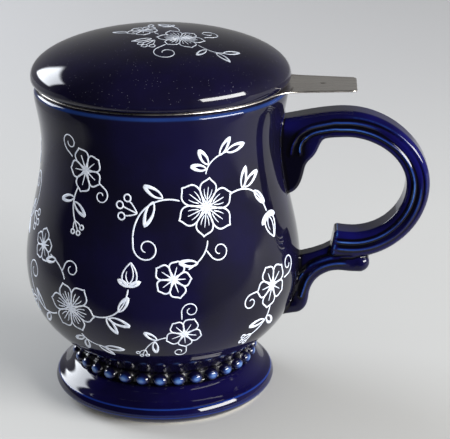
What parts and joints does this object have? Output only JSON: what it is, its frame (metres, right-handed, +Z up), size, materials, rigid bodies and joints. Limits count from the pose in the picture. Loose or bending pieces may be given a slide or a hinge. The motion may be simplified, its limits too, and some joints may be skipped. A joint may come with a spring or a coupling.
{
  "type": "lidded tea mug with infuser",
  "caption": "Bellied ceramic mug on a beaded foot, with a scrolled handle, a hanging steel strainer basket with a thumb tab, and a domed lid.",
  "frame": {"origin": "on the mug's axis, in the plane that the foot rests on", "axes": "+Z up along the mug's axis; +X towards the handle and the infuser's thumb tab"},
  "size_m": [0.1364, 0.0936, 0.1262],
  "materials": {
    "mug_glaze": "deep cobalt gloss glaze",
    "foot_glaze": "deep cobalt gloss glaze over an unglazed rest",
    "bead_glaze": "deep cobalt gloss glaze",
    "handle_glaze": "deep cobalt gloss glaze, brighter on its ridges",
    "lid_glaze": "deep cobalt gloss glaze",
    "skirt_glaze": "deep cobalt gloss glaze",
    "rim_steel": "brushed stainless sheet",
    "wall_steel": "perforated stainless sheet",
    "base_steel": "perforated stainless sheet",
    "hoop_steel": "bright stainless band"
  },
  "bodies": {
    "mug": {"bowl": "mug_glaze", "pedestal_foot": "foot_glaze", "bead_ring": "bead_glaze", "handle": "handle_glaze"},
    "infuser": {"infuser_rim": "rim_steel", "basket_wall": "wall_steel", "basket_base": "base_steel", "basket_hoop": "hoop_steel"},
    "lid": {"lid_dome": "lid_glaze", "lid_skirt": "skirt_glaze"}
  },
  "joints": [
    {"name": "infuser_lift", "type": "slide", "parent": "mug", "child": "infuser", "axis": [0, 0, 1], "range_m": [0, 0.08]},
    {"name": "lid_lift", "type": "slide", "parent": "infuser", "child": "lid", "axis": [0, 0, 1], "range_m": [0, 0.04]}
  ]
}
